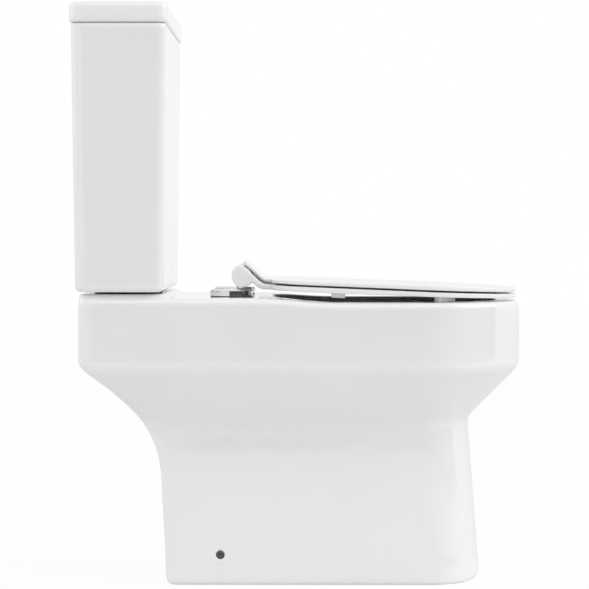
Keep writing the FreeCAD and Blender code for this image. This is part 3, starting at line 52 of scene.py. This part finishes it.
# Sizes, in metres
HINGE_NEAR = 0.022       # up to here from the hinge, the seat's and lid's arms are softened most
HINGE_FAR = 0.060        # and from here on no more than the rest
WINDOW_HALF = 0.095      # of the opening in the pan's back
WINDOW_TOP = 0.335
RAY_LIFT = 0.0008        # from a face to the start of a ray
THREAD_TOOTH = 0.0003
THREAD_END = 0.0006      # from a shank's end to its thread
METRIC_PITCH = 0.00125
SHANK_RADIUS = 0.004     # of the coupling bolts and the hinge studs
BOLT_HEAD = 0.0105       # with its seal
BOLT_HEAD_RADIUS = 0.009
STUD_HEAD = 0.007
TAIL_RADIUS = 0.01048    # of the fill valve's threaded tail
TAIL_PITCH = 0.00181
TAIL_START = 0.0010
TAIL_THREAD = 0.040
FLOOR_REACH = 12.0
CARD_HEIGHT = 1.15
CARD_CORNERS = ((-4.6, 0.9), (-4.6, -3.4), (1.4, -5.2))
BOUNCE_REACHES = (0.3, 0.6)  # round the middle of the floor, where its bounce starts to fall and ends
CAMERA_SPOT = (-3.4, -0.0085, 0.490)
CAMERA_TARGET = (0.0, 0.008, 0.4005)
LAMP_TARGET = (0.0, 0.0, 0.4)

# Counts, shares and angles
SMOOTH_SHARE = 0.5       # of the way to the middle of its neighbours, for each corner in a round
HINGE_ROUNDS = 24        # of extra softening
LEVEL_SHARE = 0.05       # a face whose normal reaches out by no more than this lies level
SKY_TURNS = (-40.0, 0.0, 40.0)  # degrees, of the rays that look for the sky
SKY_RISES = (8.0, 40.0, 68.0)
SKY_COUNT = 2            # of these rays, which have to find it
THREAD_STEPS = 24        # in a turn
THREAD_SIDES = 4         # of the section of its ridge
FLOOR_WHITE_SHARE = 0.94  # of the floor's look to the camera; the rest keeps its shadow


# Materials

def shader(name):
    """A new material, and its Principled shader."""
    made = bpy.data.materials.new(name)
    made.use_nodes = True
    return made, made.node_tree.nodes["Principled BSDF"]


def empty_shader(name):
    """A new material with nothing in it but its output, and the socket there for its surface."""
    made = bpy.data.materials.new(name)
    made.use_nodes = True
    made.node_tree.nodes.clear()
    return made, add(made, "ShaderNodeOutputMaterial").inputs["Surface"]


def add(made, kind, **values):
    """A node of a material, with its inputs set by name."""
    node = made.node_tree.nodes.new(kind)
    for key, value in values.items():
        node.inputs[key.replace("_", " ")].default_value = value
    return node


def wire(made, output, target):
    made.node_tree.links.new(output, target)


def place(made):
    """The piece's own coordinates, in metres."""
    return add(made, "ShaderNodeTexCoord").outputs["Object"]


def noise(made, where, scale, detail=2.0, roughness=0.5):
    node = add(made, "ShaderNodeTexNoise", Scale=scale, Detail=detail, Roughness=roughness)
    wire(made, where, node.inputs["Vector"])
    return node.outputs["Fac"]


def spread(made, value, low, high, start=0.3, end=0.7):
    """A value between a start and an end, mapped to a range."""
    node = add(made, "ShaderNodeMapRange", From_Min=start, From_Max=end, To_Min=low, To_Max=high)
    wire(made, value, node.inputs["Value"])
    return node.outputs["Result"]


def tint(made, value, dark, light, start=0.3, end=0.7):
    """A value turned into a colour between two."""
    node = add(made, "ShaderNodeValToRGB")
    for element, spot, colour in zip(node.color_ramp.elements, (start, end), (dark, light)):
        element.position = spot
        element.color = (*colour, 1.0)
    wire(made, value, node.inputs["Fac"])
    return node.outputs["Color"]


def bumps(made, body, layers):
    """Bump layers, each a height, a depth in metres and a strength."""
    normal = None
    for height, depth, strength in layers:
        node = add(made, "ShaderNodeBump", Distance=depth, Strength=strength)
        wire(made, height, node.inputs["Height"])
        if normal is not None:
            wire(made, normal, node.inputs["Normal"])
        normal = node.outputs["Normal"]
    wire(made, normal, body.inputs["Normal"])


def glazed(name, light, dark):
    """White fired glaze: a clear coat, a slow wave in its surface and a fine peel."""
    made, body = shader(name)
    where = place(made)
    wire(made, tint(made, noise(made, where, scale=11.0, detail=3.0), dark, light), body.inputs["Base Color"])
    smears = noise(made, where, scale=38.0, detail=4.0)
    wire(made, spread(made, smears, low=0.05, high=0.12), body.inputs["Roughness"])
    waves = noise(made, where, scale=16.0, detail=1.0)
    peel = noise(made, where, scale=420.0)
    bumps(made, body, ((waves, 0.0010, 0.3), (peel, 0.000006, 0.25)))
    body.inputs["IOR"].default_value = 1.5
    body.inputs["Coat Weight"].default_value = 0.35
    body.inputs["Coat Roughness"].default_value = 0.04
    return made


def bisque(name, light, dark):
    """The bare fired clay inside the foot and under it."""
    made, body = shader(name)
    where = place(made)
    patches = noise(made, where, scale=24.0, detail=6.0, roughness=0.62)
    wire(made, tint(made, patches, dark, light), body.inputs["Base Color"])
    wire(made, spread(made, patches, low=0.78, high=0.92), body.inputs["Roughness"])
    lumps = noise(made, where, scale=60.0, detail=4.0)
    grit = noise(made, where, scale=900.0, detail=3.0)
    bumps(made, body, ((lumps, 0.0009, 0.5), (grit, 0.00012, 0.6)))
    body.inputs["Specular IOR Level"].default_value = 0.3
    return made


def moulded(name, light, dark, gloss, grain=600.0, depth=0.00003, waves=0.0004):
    """Moulded plastic: a slight tone change, a fine grain and soft flow marks."""
    made, body = shader(name)
    where = place(made)
    wire(made, tint(made, noise(made, where, scale=18.0, detail=3.0), dark, light), body.inputs["Base Color"])
    smears = noise(made, where, scale=70.0, detail=4.0)
    wire(made, spread(made, smears, low=gloss, high=gloss + 0.09), body.inputs["Roughness"])
    flow = noise(made, where, scale=26.0, detail=1.0)
    bumps(made, body, ((flow, waves, 0.3), (noise(made, where, grain), depth, 0.35)))
    body.inputs["IOR"].default_value = 1.49
    return made


def plated(name, light, dark, smooth, rough):
    """Polished metal with wiped smudges and hairline marks."""
    made, body = shader(name)
    where = place(made)
    smudges = noise(made, where, scale=120.0, detail=5.0, roughness=0.6)
    wire(made, tint(made, smudges, dark, light), body.inputs["Base Color"])
    wire(made, spread(made, smudges, low=smooth, high=rough), body.inputs["Roughness"])
    bumps(made, body, ((noise(made, where, scale=900.0), 0.00001, 0.2),))
    body.inputs["Metallic"].default_value = 1.0
    return made


def rubber(name, light, dark):
    """Dull rubber with a fine grain."""
    made, body = shader(name)
    where = place(made)
    wire(made, tint(made, noise(made, where, scale=90.0, detail=4.0), dark, light), body.inputs["Base Color"])
    wear = noise(made, where, scale=160.0, detail=3.0)
    wire(made, spread(made, wear, low=0.5, high=0.72), body.inputs["Roughness"])
    bumps(made, body, ((noise(made, where, scale=1100.0), 0.00005, 0.5),))
    return made


clay = bisque("ceramic_bisque", (0.76, 0.72, 0.65), (0.62, 0.57, 0.50))
looks = {
    "ceramic": glazed("ceramic_glaze", (0.885, 0.885, 0.882), (0.868, 0.868, 0.864)),
    "seat_plastic": moulded("seat_gloss", (0.885, 0.885, 0.885), (0.872, 0.872, 0.872), gloss=0.16,
                            grain=420.0, depth=0.000004, waves=0.0002),
    "chrome": plated("hinge_chrome", (0.80, 0.81, 0.82), (0.74, 0.75, 0.77), smooth=0.08, rough=0.14),
    "hinge_plastic": moulded("hinge_polymer", (0.80, 0.80, 0.80), (0.74, 0.74, 0.74), gloss=0.3),
    "steel": plated("steel_zinc", (0.62, 0.61, 0.58), (0.46, 0.45, 0.43), smooth=0.22, rough=0.4),
    "dark_rubber": rubber("rubber_black", (0.035, 0.035, 0.036), (0.018, 0.018, 0.019)),
    "white_rubber": rubber("rubber_white", (0.86, 0.86, 0.85), (0.80, 0.80, 0.79)),
    "valve_plastic": moulded("valve_polymer", (0.80, 0.80, 0.78), (0.74, 0.74, 0.72), gloss=0.34),
    "grey_plastic": moulded("valve_grey", (0.33, 0.34, 0.35), (0.27, 0.28, 0.29), gloss=0.38),
    "float_plastic": moulded("float_blue", (0.10, 0.25, 0.42), (0.08, 0.20, 0.35), gloss=0.4),
}


# Pieces

node_slot = {entry["node"]: entry["material_slot"] for entry in frame["record"]["subparts"]}
node_body = {}
for body, members in frame["record"]["behaviour"]["bodies"].items():
    for name in members:
        node_body[name] = body
hinge_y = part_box("hinge_damper_left")[0].y


def evaluated(piece):
    """The piece's mesh with its modifiers applied."""
    graph = bpy.context.evaluated_depsgraph_get()
    made = bpy.data.meshes.new_from_object(piece.evaluated_get(graph))
    piece.modifiers.clear()
    piece.data = made
    return made


def thinned(piece, keep):
    """A piece with a share of its faces, which keeps the shading of the full mesh."""
    full = bpy.data.objects.new("full", piece.data)
    scene.collection.objects.link(full)
    fewer = piece.modifiers.new("fewer", "DECIMATE")
    fewer.ratio = keep
    shading = piece.modifiers.new("shading", "DATA_TRANSFER")
    shading.object = full
    shading.use_loop_data = True
    shading.data_types_loops = {"CUSTOM_NORMAL"}
    shading.loop_mapping = "POLYINTERP_NEAREST"
    made = evaluated(piece)
    mesh = full.data
    bpy.data.objects.remove(full)
    bpy.data.meshes.remove(mesh)
    return made


def smoothed(piece, name, rounds):
    """Draws each corner towards the middle of its neighbours, some times over."""
    soft = piece.modifiers.new(name, "SMOOTH")
    soft.factor = SMOOTH_SHARE
    soft.iterations = rounds
    return soft


def softened(name, grid, rounds, keep=1.0, region=None):
    """A node's skin remade in even faces, with its edges softened, as glaze or a mould leaves them.

    A region, which gives each point a weight, is softened by some extra rounds.
    """
    piece = bpy.data.objects.new(name + "_skin", nodes[name].data.copy())
    scene.collection.objects.link(piece)
    even = piece.modifiers.new("even", "REMESH")
    even.mode = "VOXEL"
    even.voxel_size = grid
    true = piece.modifiers.new("true", "SHRINKWRAP")
    true.target = nodes[name]
    true.wrap_method = "NEAREST_SURFACEPOINT"
    made = evaluated(piece)
    if region:
        group = piece.vertex_groups.new(name="round")
        for corner in made.vertices:
            weight = region(corner.co)
            if weight > 0.0:
                group.add([corner.index], weight, "REPLACE")
        smoothed(piece, "ball", HINGE_ROUNDS).vertex_group = group.name
    smoothed(piece, "soft", rounds)
    made = evaluated(piece)
    made.shade_smooth()
    if keep < 1.0:
        made = thinned(piece, keep)
    made.materials.clear()
    made.materials.append(looks[node_slot[name]])
    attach(piece, node_body[name])
    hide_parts(name)
    return piece


def near_hinge(spot):
    """A weight that falls from 1 at the hinge to 0 where its arms meet the flat of the seat or lid."""
    away = hinge_y - spot.y
    return min(1.0, max(0.0, (HINGE_FAR - away) / (HINGE_FAR - HINGE_NEAR)))


def bare_clay(piece):
    """Leaves the pan unglazed where it sees no sky, but through the window in its back."""
    mesh = piece.data
    mesh.materials.append(clay)
    tree = BVHTree.FromPolygons([v.co for v in mesh.vertices], [f.vertices for f in mesh.polygons])
    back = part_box("pan")[1].y
    turns = [Matrix.Rotation(math.radians(angle), 3, "Z") for angle in SKY_TURNS]
    rises = [math.tan(math.radians(angle)) for angle in SKY_RISES]
    up = Vector((0.0, 0.0, 1.0))

    def escapes(start, way):
        if tree.ray_cast(start, way)[0] is not None:
            return False
        if way.y <= 0.0:
            return True
        end = start + way * ((back - start.y) / way.y)
        return abs(end.x) > WINDOW_HALF or end.z > WINDOW_TOP

    for face in mesh.polygons:
        start = face.center + face.normal * RAY_LIFT
        if escapes(start, up):
            continue
        flat = Vector((face.normal.x, face.normal.y, 0.0))
        if flat.length > LEVEL_SHARE:
            flat.normalize()
            ways = [turn @ flat + up * rise for turn in turns for rise in rises]
            if sum(escapes(start, way) for way in ways) >= SKY_COUNT:
                continue
        face.material_index = 1


def threads(name, node, middles, radius, low, high, pitch):
    """Screw threads round one or more upright shanks of a node: a ridge wound up each."""
    steps = int(THREAD_STEPS * (high - low - pitch) / pitch)
    corners = []
    faces = []
    for x, y in middles:
        first = len(corners)
        for step in range(steps + 1):
            turn = math.tau * step / THREAD_STEPS
            z = low + pitch * step / THREAD_STEPS
            out = THREAD_TOOTH * min(1.0, step / THREAD_STEPS, (steps - step) / THREAD_STEPS)
            crest = pitch / 2
            flank = ((-THREAD_TOOTH, 0.0), (out, crest - THREAD_TOOTH), (out, crest + THREAD_TOOTH),
                     (-THREAD_TOOTH, pitch))
            for reach, rise in flank:
                spot = radius + reach
                corners.append((x + spot * math.cos(turn), y + spot * math.sin(turn), z + rise))
        for step in range(steps):
            row = first + THREAD_SIDES * step
            above = row + THREAD_SIDES
            for side in range(THREAD_SIDES):
                after = (side + 1) % THREAD_SIDES
                faces.append((row + side, above + side, above + after, row + after))
        last = first + THREAD_SIDES * steps
        faces.append([first + side for side in range(THREAD_SIDES)])
        faces.append([last + side for side in reversed(range(THREAD_SIDES))])
    mesh = bpy.data.meshes.new(name)
    mesh.from_pydata(corners, [], faces)
    mesh.materials.append(looks[node_slot[node]])
    mesh.shade_smooth()
    piece = bpy.data.objects.new(name, mesh)
    scene.collection.objects.link(piece)
    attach(piece, node_body[node])


for name, item in nodes.items():
    item.data.materials.clear()
    item.data.materials.append(looks[node_slot[name]])

bare_clay(softened("pan", grid=0.0024, rounds=4, keep=0.22))
softened("cistern_tank", grid=0.0025, rounds=4, keep=0.3)
softened("cistern_lid", grid=0.0020, rounds=4, keep=0.4)
for name in ("seat_ring", "seat_lid"):
    softened(name, grid=0.0012, rounds=5, keep=0.3, region=near_hinge)
softened("seat_buffers", grid=0.0006, rounds=6, keep=0.5)
softened("lid_buffers", grid=0.0006, rounds=4, keep=0.5)
for side in ("left", "right"):
    softened("hinge_post_" + side, grid=0.0005, rounds=5)

low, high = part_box("coupling_bolts")
bolt_x = high.x - BOLT_HEAD_RADIUS
bolt_y = (low.y + high.y) / 2
threads("coupling_bolt_threads", "coupling_bolts", ((-bolt_x, bolt_y), (bolt_x, bolt_y)), SHANK_RADIUS,
        low.z + THREAD_END, high.z - BOLT_HEAD, METRIC_PITCH)
low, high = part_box("hinge_studs")
stud_x = high.x - SHANK_RADIUS
stud_y = (low.y + high.y) / 2
threads("hinge_stud_threads", "hinge_studs", ((-stud_x, stud_y), (stud_x, stud_y)), SHANK_RADIUS,
        low.z + THREAD_END, high.z - STUD_HEAD, METRIC_PITCH)
low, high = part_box("fill_valve_washer")
tail = ((low.x + high.x) / 2, bolt_y)
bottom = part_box("fill_valve_body")[0].z
threads("fill_tail_thread", "fill_valve_body", (tail,), TAIL_RADIUS,
        bottom + TAIL_START, bottom + TAIL_THREAD, TAIL_PITCH)


# Floor, light and camera

def floor_material():
    """A white floor that keeps a faint shadow, and throws most light back close to the object."""
    made, surface = empty_shader("floor_white")
    matte = add(made, "ShaderNodeBsdfDiffuse", Color=(0.8, 0.8, 0.8, 1.0))
    away = add(made, "ShaderNodeVectorMath")
    away.operation = "LENGTH"
    wire(made, place(made), away.inputs[0])
    bounce = add(made, "ShaderNodeEmission")
    near, far = BOUNCE_REACHES
    fall = spread(made, away.outputs["Value"], low=0.10, high=0.0, start=near, end=far)
    wire(made, fall, bounce.inputs["Strength"])
    lit = add(made, "ShaderNodeAddShader")
    wire(made, matte.outputs[0], lit.inputs[0])
    wire(made, bounce.outputs[0], lit.inputs[1])
    share = add(made, "ShaderNodeMath")
    share.operation = "MULTIPLY"
    share.inputs[1].default_value = FLOOR_WHITE_SHARE
    wire(made, add(made, "ShaderNodeLightPath").outputs["Is Camera Ray"], share.inputs[0])
    mix = add(made, "ShaderNodeMixShader")
    wire(made, share.outputs[0], mix.inputs[0])
    wire(made, lit.outputs[0], mix.inputs[1])
    wire(made, add(made, "ShaderNodeEmission").outputs[0], mix.inputs[2])
    wire(made, mix.outputs[0], surface)
    return made


def sheet(name, corners, material):
    """A flat piece of the stage."""
    mesh = bpy.data.meshes.new(name)
    mesh.from_pydata(corners, [], [(0, 1, 2, 3)])
    mesh.materials.append(material)
    made = bpy.data.objects.new(name, mesh)
    scene.collection.objects.link(made)
    return made


def floor():
    plan = ((-1, -1), (1, -1), (1, 1), (-1, 1))
    sheet("floor", [(FLOOR_REACH * x, FLOOR_REACH * y, 0.0) for x, y in plan], floor_material())


def dark_cards():
    """The dark side of the studio, seen only in what is polished."""
    made, surface = empty_shader("card_dark")
    wire(made, add(made, "ShaderNodeEmission", Color=(0.05, 0.05, 0.05, 1.0)).outputs[0], surface)
    for name, start, end in zip(("card_left", "card_front"), CARD_CORNERS, CARD_CORNERS[1:]):
        corners = [(*start, 0.0), (*end, 0.0), (*end, CARD_HEIGHT), (*start, CARD_HEIGHT)]
        card = sheet(name, corners, made)
        card.visible_camera = False
        card.visible_diffuse = False
        card.visible_shadow = False
        card.visible_transmission = False


def backdrop():
    """A white world: full where it is seen, a little less in reflections, and softer as light."""
    world = bpy.data.worlds.new("studio")
    scene.world = world
    world.use_nodes = True
    world.node_tree.nodes.clear()
    rays = add(world, "ShaderNodeLightPath")
    shown = add(world, "ShaderNodeMath")
    shown.operation = "MAXIMUM"
    wire(world, rays.outputs["Is Camera Ray"], shown.inputs[0])
    wire(world, rays.outputs["Is Transmission Ray"], shown.inputs[1])
    white = (1.0, 1.0, 1.0, 1.0)
    light = add(world, "ShaderNodeBackground", Color=white, Strength=0.70).outputs[0]
    for strength, choice in ((0.92, rays.outputs["Is Glossy Ray"]), (1.0, shown.outputs[0])):
        other = add(world, "ShaderNodeBackground", Color=white, Strength=strength)
        mix = add(world, "ShaderNodeMixShader")
        wire(world, choice, mix.inputs[0])
        wire(world, light, mix.inputs[1])
        wire(world, other.outputs[0], mix.inputs[2])
        light = mix.outputs[0]
    wire(world, light, add(world, "ShaderNodeOutputWorld").inputs["Surface"])


def aim(item, target):
    item.rotation_euler = (Vector(target) - item.location).to_track_quat("-Z", "Y").to_euler()


def lamp(name, strength, breadth, spot):
    """A broad soft light from one side."""
    data = bpy.data.lights.new(name, "SUN")
    data.energy = strength
    data.angle = math.radians(breadth)
    made = bpy.data.objects.new(name, data)
    scene.collection.objects.link(made)
    made.location = spot
    aim(made, LAMP_TARGET)


def camera():
    data = bpy.data.cameras.new("view")
    data.lens = 145.04
    data.sensor_width = 36.0
    data.clip_end = 60.0
    made = bpy.data.objects.new("view", data)
    scene.collection.objects.link(made)
    made.location = CAMERA_SPOT
    aim(made, CAMERA_TARGET)
    scene.camera = made


floor()
dark_cards()
backdrop()
lamp("key", strength=0.82, breadth=50.0, spot=(0.0, -2.0, 1.46))
lamp("side", strength=0.46, breadth=40.0, spot=(-1.9, -0.6, 2.95))
lamp("rim", strength=0.52, breadth=50.0, spot=(0.0, 2.0, 1.33))
camera()
scene.view_settings.view_transform = "Standard"
